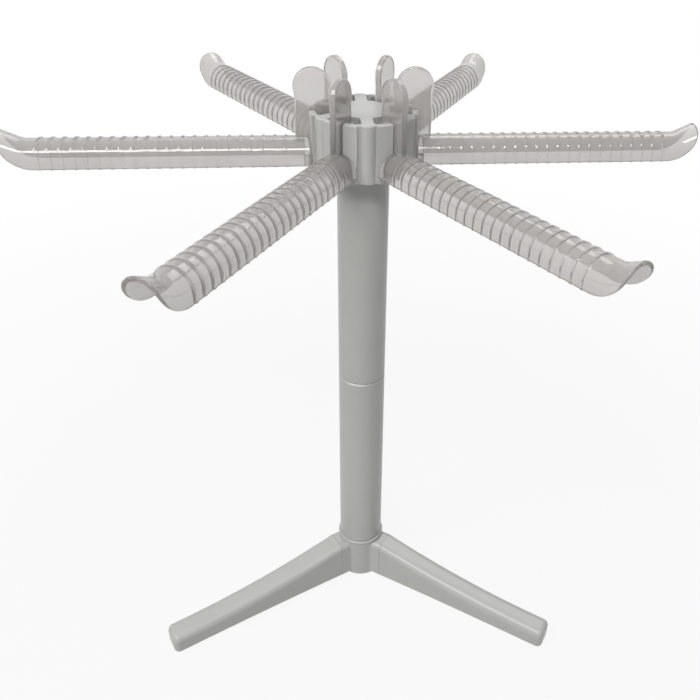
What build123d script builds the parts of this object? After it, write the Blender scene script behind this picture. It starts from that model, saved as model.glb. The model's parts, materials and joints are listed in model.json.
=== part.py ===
from build123d import *

import os
from math import cos, radians, sin, tan

# Free-standing pasta drying rack, in millimetres, +Z up.
#
# Six clear ribbed arms hang by cross flanges in open-topped pockets round a hub. The hub turns on
# a pole made of two alike lengths that plug into each other, and the pole plugs into a base drum.
# Three tapering legs hook into the drum from below. The origin is on the floor, on the pole's axis.

os.makedirs("parts", exist_ok=True)

# How many arms and legs, and how they stand round the pole
arm_count = 6
leg_count = 3
leg_bearing = 90.0  # degrees, the leg behind the pole
arm_bearing = 4.6  # degrees, the hub stands a little round from the legs

# Fits between pieces
plug_clearance = 0.08  # round plugs in their sockets, on the radius
slide_clearance = 0.3  # flanges, webs and tongues in their slots, each side
cut_overrun = 5.0  # how far a cutting shape runs past the face it starts on

# Pole lengths: each has a plug at its foot and an open socket at its head
tube_length = 128.5
tube_radius = 13.5
tube_wall = 2.0
tube_floor = 3.0
plug_length = 18.0
plug_wall = 1.8
plug_lead = 1.0
tube_end_bevel = 0.9

# Base drum
base_height = 31.2
base_ground_gap = 2.4
base_radius = 13.9
base_bead_reach = 0.7
base_bead_height = 1.8
base_socket_extra = 1.0
base_foot_bevel = 0.8
base_line_height = 2.6
base_line_depth = 0.3

# Leg stubs on the drum and the hook slots in them
stub_reach = 18.5
stub_fillet = 1.8  # valleys between drum and stubs
tongue_length = 22.0
tongue_neck = 5.0
tongue_head_width = 10.0
tongue_head_depth = 2.0
tongue_head_inset = 3.0

# Legs
leg_width = 15.2
leg_root_top = 31.0
leg_root_corner = 3.6
leg_knee_reach = 68.0
leg_knee_top = 21.2
leg_knee_bottom = 1.1
leg_knee_corner = 5.2
foot_reach = 134.2
foot_radius = 7.4
foot_lift = 7.0
foot_corner = 4.4
foot_end_round = 3.6

# Hub
hub_radius = 27.0
hub_height = 29.2
hub_wall = 3.0
hub_floor = 4.0
hub_core_radius = 14.2
hub_roof = 3.0
hub_groove_depth = 1.5
hub_neck_width = 6.0
hub_pillar_radius = 4.8
hub_pad_half_angle = 18.8  # degrees, half the width of a pocket's outer wall
hub_edge_bevel = 0.5
pocket_corner = 1.0

# Arm channel
arm_reach = 172.8
arm_width = 18.0
arm_depth = 12.6
arm_wall = 1.8
arm_crown_drop = 13.3  # from the hub's top to the channel's crown
arm_end_plate = 2.0

# Upturned lip at the arm's outer end
lip_length = 12.8
lip_bend_radius = 12.0
lip_angle = 25.5
lip_under_radius = 15.6
lip_edge_round = 0.6

# Raised cross ribs along the channel, as many as fit before the lip
rib_margin = 5.0  # left free between the last rib's middle and the lip
rib_pitch = 5.54
rib_first = 38.2
rib_width = 1.1
rib_rise = 0.4

# Upright web, finger tab and cross flange
web_thickness = 3.2
web_inner = 16.4
web_outer = 33.6
tab_rise = 20.4
tab_centre = 25.0
tab_radius = 9.25
tab_edge_round = 0.9
flange_thickness = 2.5
flange_half_width = 5.5

# Heights that follow from the sizes above
base_top = base_ground_gap + base_height
joint_height = base_top + tube_length
hub_bottom = joint_height + tube_length
hub_top = hub_bottom + hub_height
crown_height = hub_top - arm_crown_drop
arm_bottom = crown_height - arm_depth
pocket_floor = hub_bottom + hub_floor
tab_top = hub_top + tab_rise

# Radii that follow from the sizes above
socket_radius = tube_radius - tube_wall
plug_radius = socket_radius - plug_clearance
plug_bore_radius = plug_radius - plug_wall
pocket_outer = hub_radius - hub_wall
flange_outer = pocket_outer - slide_clearance
flange_inner = flange_outer - flange_thickness
arm_root = hub_radius + slide_clearance
tongue_head_outer = stub_reach - tongue_head_inset
tongue_head_inner = tongue_head_outer - tongue_head_depth
leg_root = stub_reach + slide_clearance / 2


def upright_plane(reach, bearing=0.0):
    """Plane square to a spoke at one reach, its x to the left seen from the pole, its y up."""
    outwards = Vector(cos(radians(bearing)), sin(radians(bearing)), 0)
    return Plane(origin=outwards * reach, x_dir=Vector(-outwards.Y, outwards.X, 0), z_dir=outwards)


def arm_bearings():
    """Bearings of the arms, in degrees."""
    return [arm_bearing + 360 / arm_count * step for step in range(arm_count)]


def leg_bearings():
    """Bearings of the legs, in degrees."""
    return [leg_bearing + 360 / leg_count * step for step in range(leg_count)]


# Pole lengths, two alike mouldings


def make_tube(foot_height):
    """One pole length standing with its shoulder at foot_height and its plug below that."""
    head_height = foot_height + tube_length
    plug_foot = foot_height - plug_length
    with BuildPart() as tube:
        with BuildSketch(Plane.XZ):
            with BuildLine():
                Polyline(
                    (plug_bore_radius, plug_foot),
                    (plug_radius - plug_lead / 2, plug_foot),
                    (plug_radius, plug_foot + plug_lead),
                    (plug_radius, foot_height),
                    (tube_radius - tube_end_bevel, foot_height),
                    (tube_radius, foot_height + tube_end_bevel),
                    (tube_radius, head_height - tube_end_bevel),
                    (tube_radius - tube_end_bevel, head_height),
                    (socket_radius, head_height),
                    (socket_radius, foot_height + tube_floor),
                    (plug_bore_radius, foot_height + tube_floor),
                    close=True,
                )
            make_face()
        revolve(axis=Axis.Z)
    return tube


lower_tube = make_tube(base_top)
lower_tube.part.label = "lower_tube"
export_step(lower_tube.part, "parts/lower_tube.step")

upper_tube = make_tube(joint_height)
upper_tube.part.label = "upper_tube"
export_step(upper_tube.part, "parts/upper_tube.step")


# Base drum with its pole socket and three hook slots

slot_neck = tongue_neck + 2 * slide_clearance
slot_head_width = tongue_head_width + 2 * slide_clearance
slot_head_inner = tongue_head_inner - slide_clearance
slot_head_outer = tongue_head_outer + slide_clearance
slot_head_centre = (slot_head_outer + slot_head_inner) / 2
slot_neck_length = stub_reach + cut_overrun - slot_head_inner
slot_neck_centre = slot_head_inner + slot_neck_length / 2

with BuildPart() as base_socket:
    # Plan of the drum and its stubs, run on past the stubs' ends, with rounded valleys and edges
    with BuildSketch(Plane.XY.offset(base_ground_gap)) as plan:
        Circle(base_radius)
        with PolarLocations(0, leg_count, start_angle=leg_bearing):
            Rectangle(2 * stub_reach, leg_width, align=(Align.MIN, Align.CENTER))
        fillet(plan.vertices().sort_by_distance((0, 0, base_ground_gap))[: 2 * leg_count], stub_fillet)
    extrude(amount=leg_root_top - base_ground_gap)
    fillet(base_socket.faces().sort_by(Axis.Z)[-1].edges(), leg_root_corner)
    fillet(base_socket.faces().sort_by(Axis.Z)[0].edges(), leg_root_corner)
    # Stubs' ends, cut off square where the legs meet them
    for bearing in leg_bearings():
        with BuildSketch(upright_plane(stub_reach, bearing)):
            with Locations((0, (leg_root_top + base_ground_gap) / 2)):
                Rectangle(2 * leg_width, 2 * leg_root_top)
        extrude(amount=2 * stub_reach, mode=Mode.SUBTRACT)
    # Drum with the thin bead that the pole's shoulder stands on
    with BuildSketch(Plane.XZ):
        with BuildLine():
            Polyline(
                (0, base_ground_gap),
                (base_radius - base_foot_bevel, base_ground_gap),
                (base_radius, base_ground_gap + base_foot_bevel),
                (base_radius, base_ground_gap + base_line_height),
                (base_radius - base_line_depth, base_ground_gap + base_line_height + base_line_depth),
                (base_radius, base_ground_gap + base_line_height + 2 * base_line_depth),
                (base_radius, base_top - base_bead_height),
            )
            ThreePointArc(
                (base_radius, base_top - base_bead_height),
                (base_radius + base_bead_reach, base_top - base_bead_height / 2),
                (base_radius, base_top),
            )
            Polyline((base_radius, base_top), (0, base_top), (0, base_ground_gap))
        make_face()
    revolve(axis=Axis.Z)
    # Socket for the pole's plug
    with BuildSketch(Plane.XY.offset(base_top)):
        Circle(socket_radius)
    extrude(amount=-(plug_length + base_socket_extra), mode=Mode.SUBTRACT)
    # Hook slots, open at the bottom
    with BuildSketch(Plane.XY.offset(base_ground_gap)):
        with PolarLocations(slot_neck_centre, leg_count, start_angle=leg_bearing):
            Rectangle(slot_neck_length, slot_neck)
        with PolarLocations(slot_head_centre, leg_count, start_angle=leg_bearing):
            Rectangle(slot_head_outer - slot_head_inner, slot_head_width)
    extrude(amount=tongue_length, mode=Mode.SUBTRACT)

base_socket.part.label = "base_socket"
export_step(base_socket.part, "parts/base_socket.step")


# Legs, each with a hook tongue at its root


def leg_section(reach, width, top, bottom, corner):
    """Rounded section of a leg square to its length, on a leg that points along +X."""
    with BuildSketch(upright_plane(reach)) as section:
        with Locations((0, (top + bottom) / 2)):
            RectangleRounded(width, top - bottom, corner)
    return section.sketch


with BuildPart() as leg_form:
    # Tapering beam from root to foot
    add(leg_section(leg_root, leg_width, leg_root_top, base_ground_gap, leg_root_corner))
    add(leg_section(leg_knee_reach, leg_width, leg_knee_top, leg_knee_bottom, leg_knee_corner))
    foot_top = foot_lift + foot_radius
    foot_bottom = foot_lift - foot_radius
    add(leg_section(foot_reach, 2 * foot_radius, foot_top, foot_bottom, foot_corner))
    loft()
    # Flat sole where the foot meets the floor, and a blunt rounded end
    with BuildSketch(Plane.XY):
        with Locations((foot_reach / 2, 0)):
            Rectangle(2 * foot_reach, 2 * leg_width)
    extrude(amount=-cut_overrun, mode=Mode.SUBTRACT)
    fillet(leg_form.faces().sort_by(Axis.X)[-1].edges(), foot_end_round)
    # Hook tongue that slides up into the drum's slot
    with BuildSketch(Plane.XY.offset(base_ground_gap)):
        with Locations(((leg_root + tongue_head_inner) / 2, 0)):
            Rectangle(leg_root - tongue_head_inner, tongue_neck)
        with Locations(((tongue_head_outer + tongue_head_inner) / 2, 0)):
            Rectangle(tongue_head_depth, tongue_head_width)
    extrude(amount=tongue_length)

for number, bearing in enumerate(leg_bearings(), start=1):
    with BuildPart() as leg:
        add(leg_form.part, rotation=(0, 0, bearing))
    leg.part.label = f"leg_{number}"
    export_step(leg.part, f"parts/leg_{number}.step")


# Hub with its plug, a blind bore from below and a pocket for each arm

hub_body_radius = hub_radius - hub_groove_depth
slit_width = web_thickness + 2 * slide_clearance
pillar_centre = hub_radius - hub_pillar_radius
pillar_bearing = arm_bearing + 180 / arm_count
pocket_depth = hub_height - hub_floor

with BuildPart() as hub:
    # Lobed body: a wide pad outside each pocket and a round pillar between each two
    with BuildSketch(Plane.XY.offset(hub_bottom)):
        Circle(hub_body_radius)
        for bearing in arm_bearings():
            with BuildLine():
                wall = CenterArc((0, 0), hub_radius, bearing - hub_pad_half_angle, 2 * hub_pad_half_angle)
                Polyline(wall @ 1, (0, 0), wall @ 0)
            make_face()
        with PolarLocations(pillar_centre, arm_count, start_angle=pillar_bearing):
            Circle(hub_pillar_radius)
    extrude(amount=hub_height)
    chamfer(hub.faces().sort_by(Axis.Z)[-1].edges(), hub_edge_bevel)
    chamfer(hub.faces().sort_by(Axis.Z)[0].edges(), hub_edge_bevel)
    # Plug that turns in the upper pole length
    with BuildSketch(Plane.XY.offset(hub_bottom)):
        Circle(plug_radius)
    extrude(amount=-plug_length)
    chamfer(hub.faces().sort_by(Axis.Z)[0].edges(), plug_lead, plug_lead / 2)
    # Blind bore from below
    with BuildSketch(Plane.XY.offset(hub_bottom - plug_length)):
        Circle(plug_bore_radius)
    extrude(amount=plug_length + hub_height - hub_roof, mode=Mode.SUBTRACT)
    # Pockets, open at the top and kept apart by radial necks
    with BuildSketch(Plane.XY.offset(hub_top)) as pockets:
        Circle(pocket_outer)
        Circle(hub_core_radius, mode=Mode.SUBTRACT)
        with PolarLocations(pillar_centre, arm_count, start_angle=pillar_bearing):
            Rectangle(pillar_centre, hub_neck_width, mode=Mode.SUBTRACT)
        fillet(pockets.vertices(), pocket_corner)
    extrude(amount=-pocket_depth, mode=Mode.SUBTRACT)
    # Slits in the outer wall, through which the webs come out
    with BuildSketch(Plane.XY.offset(hub_top)):
        with PolarLocations(hub_radius, arm_count, start_angle=arm_bearing):
            Rectangle(2 * hub_wall + 2 * pocket_corner, slit_width)
    extrude(amount=-pocket_depth, mode=Mode.SUBTRACT)

hub.part.label = "hub"
export_step(hub.part, "parts/hub.step")


# Arms, each a ribbed channel with an upright web, a cross flange and a round finger tab

crown_radius = arm_width / 2
bore_half_width = crown_radius - arm_wall
wall_middle = crown_radius - arm_wall / 2
spring_height = crown_height - crown_radius
lip_start = arm_reach - lip_length
rib_count = 1 + int((lip_start - rib_margin - rib_first) / rib_pitch)
bore_start = arm_root + arm_end_plate
lip_corner = lip_start + lip_bend_radius * tan(radians(lip_angle / 2))
lip_run = arm_reach - lip_corner + cut_overrun
lip_under_start = arm_reach - lip_under_radius
tab_middle = tab_top - tab_radius


def arch_section(reach, half_width, foot_half_width):
    """Filled arch square to an arm that points along +X, as deep as the channel."""
    with BuildSketch(upright_plane(reach)) as section:
        with BuildLine():
            CenterArc((0, spring_height), half_width, 0, 180)
            Polyline(
                (-half_width, spring_height),
                (-foot_half_width, arm_bottom),
                (foot_half_width, arm_bottom),
                (half_width, spring_height),
            )
        make_face()
    return section.sketch


def crown_line(reach):
    """Line along the channel's crown from one reach outwards, bent up at the lip."""
    with BuildLine(Plane.XZ) as line:
        FilletPolyline(
            (reach, crown_height),
            (lip_corner, crown_height),
            (lip_corner + lip_run, crown_height + lip_run * tan(radians(lip_angle))),
            radius=lip_bend_radius,
        )
    return line.line


def lip_under():
    """Shape below the lip, whose edge curves up like the tip of a ski."""
    with BuildSketch(Plane.XZ) as under:
        with BuildLine():
            CenterArc((lip_under_start, arm_bottom + lip_under_radius), lip_under_radius, -90, 90)
            Polyline(
                (arm_reach, arm_bottom + lip_under_radius),
                (arm_reach, arm_bottom + 2 * lip_under_radius),
                (arm_reach + lip_under_radius, arm_bottom + 2 * lip_under_radius),
                (arm_reach + lip_under_radius, arm_bottom),
                (lip_under_start, arm_bottom),
            )
        make_face()
    return under.sketch


with BuildPart() as web_form:
    # Web outside the hub, from the channel's crown up
    with BuildSketch(Plane.XZ):
        with Locations(((web_inner + web_outer) / 2, (pocket_floor + tab_middle) / 2)):
            Rectangle(web_outer - web_inner, tab_middle - pocket_floor)
        with Locations((tab_centre, tab_middle)):
            Circle(tab_radius)
    extrude(amount=web_thickness / 2, both=True)
    rim = web_form.edges().filter_by(Axis.Y, reverse=True)
    fillet(rim, tab_edge_round)
    # Step over the channel's end plate
    with BuildSketch(Plane.XZ):
        with Locations(((bore_start + web_outer) / 2 + cut_overrun / 2, crown_height - arm_wall / 2)):
            Rectangle(web_outer - bore_start + cut_overrun, arm_depth, align=(Align.CENTER, Align.MAX))
    extrude(amount=web_thickness, both=True, mode=Mode.SUBTRACT)

with BuildPart() as rib_form:
    # Raised ribs, bows that reach into the channel's wall and fade out down its sides
    for step in range(rib_count):
        rib_start = rib_first + step * rib_pitch - rib_width / 2
        rib_outside = arch_section(rib_start, crown_radius + rib_rise, crown_radius)
        rib_inside = arch_section(rib_start, wall_middle, wall_middle)
        extrude(rib_outside - rib_inside, amount=rib_width)
    extrude(lip_under(), amount=arm_width, both=True, mode=Mode.SUBTRACT)

with BuildPart() as arm_form:
    # Outside of the channel
    sweep(arch_section(pocket_outer, crown_radius, crown_radius), path=crown_line(pocket_outer))
    # Hollow from below, which leaves an end plate beside the hub
    sweep(
        arch_section(bore_start, bore_half_width, bore_half_width),
        path=crown_line(bore_start),
        mode=Mode.SUBTRACT,
    )
    with BuildSketch(Plane.XY.offset(arm_bottom)):
        Circle(arm_root)
    extrude(amount=arm_depth, mode=Mode.SUBTRACT)
    # Lip with rounded rims
    extrude(lip_under(), amount=arm_width, both=True, mode=Mode.SUBTRACT)
    lip_rims = arm_form.faces(Select.LAST).edges().filter_by(Axis.Y, reverse=True)
    fillet(lip_rims, lip_edge_round)
    add(rib_form.part)
    # Web with its tab, and the flange across it that hangs in the hub's pocket
    add(web_form.part)
    with BuildSketch(Plane.XY.offset(pocket_floor)) as flange:
        Circle(flange_outer)
        Circle(flange_inner, mode=Mode.SUBTRACT)
        with Locations((flange_outer, 0)):
            Rectangle(flange_outer, 2 * flange_half_width, mode=Mode.INTERSECT)
    extrude(amount=pocket_depth)

for number, bearing in enumerate(arm_bearings(), start=1):
    with BuildPart() as arm:
        add(arm_form.part, rotation=(0, 0, bearing))
    arm.part.label = f"arm_{number}"
    export_step(arm.part, f"parts/arm_{number}.step")
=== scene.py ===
import json
from math import cos, pi, radians, sin

import bpy
from mathutils import Matrix, Vector

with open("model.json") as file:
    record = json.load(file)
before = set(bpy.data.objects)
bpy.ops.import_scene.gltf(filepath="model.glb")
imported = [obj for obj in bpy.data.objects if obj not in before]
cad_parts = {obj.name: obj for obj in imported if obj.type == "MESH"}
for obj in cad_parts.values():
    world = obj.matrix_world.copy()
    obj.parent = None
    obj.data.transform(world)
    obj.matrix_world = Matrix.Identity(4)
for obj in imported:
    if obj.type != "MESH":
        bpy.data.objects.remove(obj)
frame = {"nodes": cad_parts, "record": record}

# Free-standing pasta drying rack: materials, floor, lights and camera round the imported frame.
# Lengths are in metres unless a comment says otherwise, with the origin on the floor under the pole.

MM = 0.001
WHITE = (1.0, 1.0, 1.0, 1.0)

# Camera of the photograph
CAMERA_PLACE = Vector((-0.00158, -0.38727, 0.43854))
CAMERA_TURN = 3.326  # degrees from +Y towards +X
CAMERA_DROP = 31.689  # degrees below the horizon
CAMERA_ROLL = 2.052  # degrees
PHOTO_SIDE = 700.0  # pixels
PHOTO_FOCUS = 799.98  # pixels
PHOTO_MIDDLE = (398.94, 318.96)  # pixels, where the optical axis meets the picture
SENSOR = 36.0  # millimetres
NEAREST_SEEN = 0.01

# Room light
ROOM_COLOUR = (0.97, 0.985, 1.0, 1.0)
ROOM_STRENGTH = 0.19

# Lamps, with their power in watts
LAMPS = {
    "overhead": dict(
        place=(-0.45, 0.15, 1.7), target=(0, 0, 0.25), size=(1.4, 1.4), power=2.4, colour=(1.0, 0.995, 0.985)
    ),
    "key": dict(
        place=(-0.95, -0.65, 1.4), target=(0, 0, 0.25), size=(0.6, 0.6), power=10.5, colour=(1.0, 0.99, 0.975)
    ),
    "front": dict(
        place=(-0.2, -1.2, 1.6), target=(0, 0, 0.25), size=(1.3, 0.36), power=19.0, colour=(1.0, 1.0, 0.995)
    ),
    "back": dict(
        place=(0.45, 1.25, 2.0), target=(0, 0, 0.2), size=(1.4, 0.8), power=10.0, colour=(1.0, 1.0, 1.0)
    ),
}

# Floor
FLOOR_RADIUS = 6.0
FLOOR_CORNERS = 96
FLOOR_COLOUR = (0.50, 0.50, 0.49, 1.0)
SHADOW_REACH = (0.25, 0.75)  # where the floor's shading starts to fade and where it has faded out
SHADOW_SHARE = 0.10  # how much of the floor's own shading the camera sees

# Satin grey plastic of the legs, pole and hub. A pattern is its scale per metre and its detail.
GREY_LIGHT = (0.478, 0.477, 0.464, 1.0)
GREY_DARK = (0.444, 0.443, 0.430, 1.0)
GREY_IOR = 1.5
GREY_CLOUD = (60.0, 3.0)
GREY_SHEEN = (220.0, 4.0)
GREY_SHEEN_SPAN = (0.3, 0.7)  # part of the pattern that the roughness runs over
GREY_ROUGHNESS = (0.29, 0.34)
GREY_GRAIN = (1800.0, 2.0)
GREY_GRAIN_STRENGTH = 0.12
GREY_GRAIN_DEPTH = 0.04 * MM

# Clear plastic of the arms, with a lighter tone in their tabs
CLEAR_LIGHT = (0.66, 0.645, 0.63, 1.0)
CLEAR_DARK = (0.58, 0.565, 0.55, 1.0)
TAB_LIGHT = (0.74, 0.725, 0.71, 1.0)
TAB_DARK = (0.67, 0.655, 0.64, 1.0)
TAB_FOOT = (306 * MM, 314 * MM)  # heights between which an arm's channel gives way to its tab
CLEAR_IOR = 1.49
CLEAR_TRANSMISSION = 0.76
CLEAR_DEPTH_COLOUR = (0.62, 0.59, 0.56, 1.0)
CLEAR_DEPTH_DENSITY = 15.0
CLEAR_CLOUD = (45.0, 3.0)
CLEAR_HAZE = (300.0, 3.0)
CLEAR_HAZE_SPAN = (0.35, 0.65)
CLEAR_ROUGHNESS = (0.06, 0.11)
CLEAR_WAVES = (140.0, 2.0)
CLEAR_WAVE_STRENGTH = 0.25
CLEAR_WAVE_DEPTH = 0.4 * MM

# Ribs across the arms, measured outwards from the pole's axis
ARM_BEARINGS = (0, 60, 120)  # degrees, each for two opposite arms
RIB_FIRST = 38.2 * MM
RIB_PITCH = 5.54 * MM
RIB_RANGE = (35.0 * MM, 156.0 * MM)
RIB_SPREAD = 1.0 * MM  # from a rib's middle to where its rounding ends
RIB_ROUNDING = 0.15 * MM

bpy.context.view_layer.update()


class Nodes:
    """A node tree with short calls to add nodes and join them."""

    def __init__(self, tree):
        self.tree = tree
        tree.nodes.clear()

    def add(self, kind, **settings):
        node = self.tree.nodes.new(kind)
        for name, value in settings.items():
            setattr(node, name, value)
        return node

    def join(self, start, end):
        self.tree.links.new(start, end)

    def place(self):
        """Place on the piece itself, which moves with it."""
        return self.add("ShaderNodeTexCoord").outputs["Object"]

    def noise(self, place, scale, detail):
        node = self.add("ShaderNodeTexNoise")
        node.inputs["Scale"].default_value = scale
        node.inputs["Detail"].default_value = detail
        self.join(place, node.inputs["Vector"])
        return node.outputs["Fac"]

    def ramp(self, value, span, results=(0.0, 1.0)):
        """value over the span, remapped to run from the first result to the second."""
        node = self.add("ShaderNodeMapRange")
        node.inputs["From Min"].default_value, node.inputs["From Max"].default_value = span
        node.inputs["To Min"].default_value, node.inputs["To Max"].default_value = results
        self.join(value, node.inputs["Value"])
        return node.outputs["Result"]

    def blend(self, share, first, second):
        """Colour between two fixed colours."""
        node = self.add("ShaderNodeMix", data_type="RGBA")
        node.inputs["A"].default_value = first
        node.inputs["B"].default_value = second
        self.join(share, node.inputs["Factor"])
        return node.outputs["Result"]

    def math(self, operation, *values):
        """Result of a sum on values that are sockets or numbers."""
        node = self.add("ShaderNodeMath", operation=operation)
        for value, socket in zip(values, node.inputs):
            if isinstance(value, float):
                socket.default_value = value
            else:
                self.join(value, socket)
        return node.outputs["Value"]

    def highest(self, *values):
        top = values[0]
        for value in values[1:]:
            top = self.math("MAXIMUM", top, value)
        return top

    def bump(self, height, distance, strength=1.0, normal=None):
        node = self.add("ShaderNodeBump")
        node.inputs["Strength"].default_value = strength
        node.inputs["Distance"].default_value = distance
        self.join(height, node.inputs["Height"])
        if normal:
            self.join(normal, node.inputs["Normal"])
        return node.outputs["Normal"]

    def mix_shaders(self, share, first, second):
        """Shader that is the first at share 0 and the second at share 1."""
        node = self.add("ShaderNodeMixShader")
        self.join(share, node.inputs[0])
        self.join(first.outputs[0], node.inputs[1])
        self.join(second.outputs[0], node.inputs[2])
        return node

    def seen_directly(self):
        """1 for rays that show the background itself, also in gloss and through clear plastic."""
        path = self.add("ShaderNodeLightPath")
        rays = ("Is Camera Ray", "Is Glossy Ray", "Is Transmission Ray")
        return self.highest(*(path.outputs[ray] for ray in rays))


def new_material(name):
    """A material with an empty node tree."""
    material = bpy.data.materials.new(name)
    material.use_nodes = True
    return material, Nodes(material.node_tree)


def add_object(name, data):
    added = bpy.data.objects.new(name, data)
    bpy.context.scene.collection.objects.link(added)
    return added


def make_camera():
    turn, drop, roll = radians(CAMERA_TURN), radians(CAMERA_DROP), radians(CAMERA_ROLL)
    ahead = Vector((sin(turn) * cos(drop), cos(turn) * cos(drop), -sin(drop)))
    level = Vector((cos(turn), -sin(turn), 0.0))
    above = level.cross(ahead)
    right = level * cos(roll) + above * sin(roll)
    up = above * cos(roll) - level * sin(roll)
    data = bpy.data.cameras.new("camera")
    data.sensor_fit = "HORIZONTAL"
    data.sensor_width = SENSOR
    data.lens = PHOTO_FOCUS / PHOTO_SIDE * SENSOR
    data.shift_x = 0.5 - PHOTO_MIDDLE[0] / PHOTO_SIDE
    data.shift_y = PHOTO_MIDDLE[1] / PHOTO_SIDE - 0.5
    data.clip_start = NEAREST_SEEN
    camera = add_object("camera", data)
    axes = Matrix((right, up, -ahead)).transposed().to_4x4()
    camera.matrix_world = Matrix.Translation(CAMERA_PLACE) @ axes
    bpy.context.scene.camera = camera


def make_world():
    """Soft room light on the object, in front of a background that looks white."""
    world = bpy.data.worlds.new("studio")
    world.use_nodes = True
    bpy.context.scene.world = world
    nodes = Nodes(world.node_tree)
    room = nodes.add("ShaderNodeBackground")
    room.inputs["Color"].default_value = ROOM_COLOUR
    room.inputs["Strength"].default_value = ROOM_STRENGTH
    white = nodes.add("ShaderNodeBackground")
    white.inputs["Color"].default_value = WHITE
    mixed = nodes.mix_shaders(nodes.seen_directly(), room, white)
    out = nodes.add("ShaderNodeOutputWorld")
    nodes.join(mixed.outputs[0], out.inputs["Surface"])


def make_lamp(name, place, target, size, power, colour):
    data = bpy.data.lights.new(name, "AREA")
    data.shape = "RECTANGLE"
    data.size, data.size_y = size
    data.energy = power
    data.color = colour
    turn = (Vector(target) - Vector(place)).to_track_quat("-Z", "Y")
    lamp = add_object(name, data)
    lamp.matrix_world = Matrix.Translation(place) @ turn.to_matrix().to_4x4()


def make_floor():
    """Pale floor that looks white, apart from a share of its own shading round the object."""
    bpy.ops.mesh.primitive_circle_add(vertices=FLOOR_CORNERS, radius=FLOOR_RADIUS, fill_type="NGON")
    floor = bpy.context.object
    floor.name = "floor"
    material, nodes = new_material("floor")
    reach = nodes.add("ShaderNodeVectorMath", operation="LENGTH")
    nodes.join(nodes.place(), reach.inputs[0])
    far = nodes.ramp(reach.outputs["Value"], SHADOW_REACH, (1.0 - SHADOW_SHARE, 1.0))
    pale = nodes.add("ShaderNodeBsdfDiffuse")
    pale.inputs["Color"].default_value = FLOOR_COLOUR
    white = nodes.add("ShaderNodeEmission")
    white.inputs["Color"].default_value = WHITE
    mixed = nodes.mix_shaders(nodes.math("MULTIPLY", far, nodes.seen_directly()), pale, white)
    out = nodes.add("ShaderNodeOutputMaterial")
    nodes.join(mixed.outputs[0], out.inputs["Surface"])
    floor.data.materials.append(material)


def moulded_grey():
    """Satin grey plastic: faint cloudy tone, uneven sheen and a fine moulded grain."""
    material, nodes = new_material("moulded_grey")
    place = nodes.place()
    plastic = nodes.add("ShaderNodeBsdfPrincipled")
    plastic.inputs["IOR"].default_value = GREY_IOR
    cloud = nodes.noise(place, *GREY_CLOUD)
    nodes.join(nodes.blend(cloud, GREY_DARK, GREY_LIGHT), plastic.inputs["Base Color"])
    sheen = nodes.noise(place, *GREY_SHEEN)
    nodes.join(nodes.ramp(sheen, GREY_SHEEN_SPAN, GREY_ROUGHNESS), plastic.inputs["Roughness"])
    grain = nodes.noise(place, *GREY_GRAIN)
    nodes.join(nodes.bump(grain, GREY_GRAIN_DEPTH, GREY_GRAIN_STRENGTH), plastic.inputs["Normal"])
    out = nodes.add("ShaderNodeOutputMaterial")
    nodes.join(plastic.outputs[0], out.inputs["Surface"])
    return material


def rib_rounding(nodes, place):
    """1 along the middle of each rib, falling to 0 beside it."""
    along = []
    for bearing in ARM_BEARINGS:
        node = nodes.add("ShaderNodeVectorMath", operation="DOT_PRODUCT")
        nodes.join(place, node.inputs[0])
        node.inputs[1].default_value = (cos(radians(bearing)), sin(radians(bearing)), 0.0)
        along.append(nodes.math("ABSOLUTE", node.outputs["Value"]))
    reach = nodes.highest(*along)
    offset = nodes.math("SUBTRACT", reach, RIB_FIRST)
    beside = nodes.math("ABSOLUTE", nodes.math("WRAP", offset, RIB_PITCH / 2, -RIB_PITCH / 2))
    share = nodes.ramp(beside, (0.0, RIB_SPREAD), (1.0, 0.0))
    rounded = nodes.math("SINE", nodes.math("MULTIPLY", share, pi / 2))
    first, last = RIB_RANGE
    ribbed = nodes.math(
        "MULTIPLY", nodes.math("GREATER_THAN", reach, first), nodes.math("LESS_THAN", reach, last)
    )
    return nodes.math("MULTIPLY", rounded, ribbed)


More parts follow.
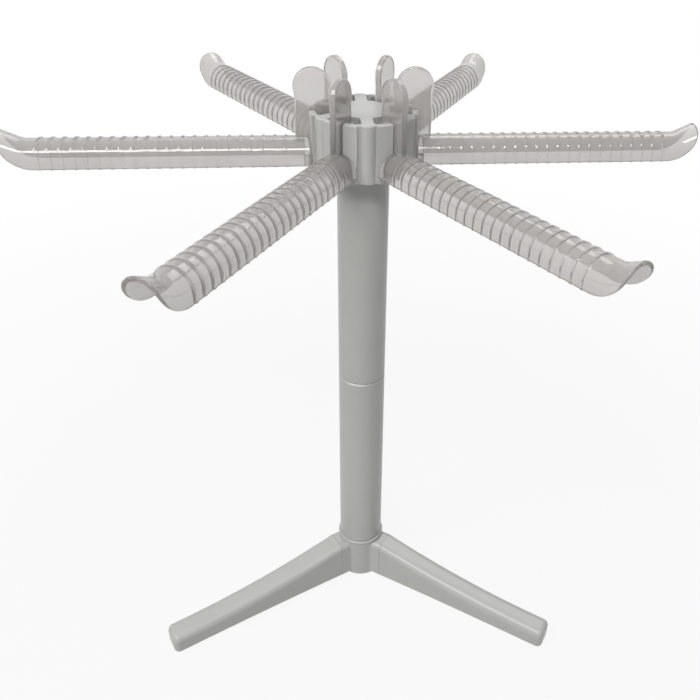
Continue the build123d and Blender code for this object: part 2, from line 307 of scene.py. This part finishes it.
def clear_plastic():
    """Clear moulded plastic, a little smoky, with slow flow waves and soft edges on its ribs."""
    material, nodes = new_material("clear_plastic")
    place = nodes.place()
    plastic = nodes.add("ShaderNodeBsdfPrincipled")
    plastic.inputs["IOR"].default_value = CLEAR_IOR
    plastic.inputs["Transmission Weight"].default_value = CLEAR_TRANSMISSION

    cloud = nodes.noise(place, *CLEAR_CLOUD)
    axes = nodes.add("ShaderNodeSeparateXYZ")
    nodes.join(place, axes.inputs[0])
    tint = nodes.add("ShaderNodeMix", data_type="RGBA")
    nodes.join(nodes.ramp(axes.outputs["Z"], TAB_FOOT), tint.inputs["Factor"])
    nodes.join(nodes.blend(cloud, CLEAR_DARK, CLEAR_LIGHT), tint.inputs["A"])
    nodes.join(nodes.blend(cloud, TAB_DARK, TAB_LIGHT), tint.inputs["B"])
    nodes.join(tint.outputs["Result"], plastic.inputs["Base Color"])

    haze = nodes.noise(place, *CLEAR_HAZE)
    nodes.join(nodes.ramp(haze, CLEAR_HAZE_SPAN, CLEAR_ROUGHNESS), plastic.inputs["Roughness"])
    ribs = nodes.bump(rib_rounding(nodes, place), RIB_ROUNDING)
    waves = nodes.noise(place, *CLEAR_WAVES)
    flow = nodes.bump(waves, CLEAR_WAVE_DEPTH, CLEAR_WAVE_STRENGTH, ribs)
    nodes.join(flow, plastic.inputs["Normal"])

    depth = nodes.add("ShaderNodeVolumeAbsorption")
    depth.inputs["Color"].default_value = CLEAR_DEPTH_COLOUR
    depth.inputs["Density"].default_value = CLEAR_DEPTH_DENSITY
    out = nodes.add("ShaderNodeOutputMaterial")
    nodes.join(plastic.outputs[0], out.inputs["Surface"])
    nodes.join(depth.outputs[0], out.inputs["Volume"])
    return material


def dress_nodes():
    """Each piece gets its plastic by the record's material slot."""
    looks = {"grey_plastic": moulded_grey(), "clear_plastic": clear_plastic()}
    for part in frame["record"]["subparts"]:
        piece = frame["nodes"][part["node"]]
        piece.data.materials.clear()
        piece.data.materials.append(looks[part["material_slot"]])


bpy.context.scene.view_settings.view_transform = "Standard"
make_camera()
make_world()
make_floor()
for lamp_name, lamp_facts in LAMPS.items():
    make_lamp(lamp_name, **lamp_facts)
dress_nodes()
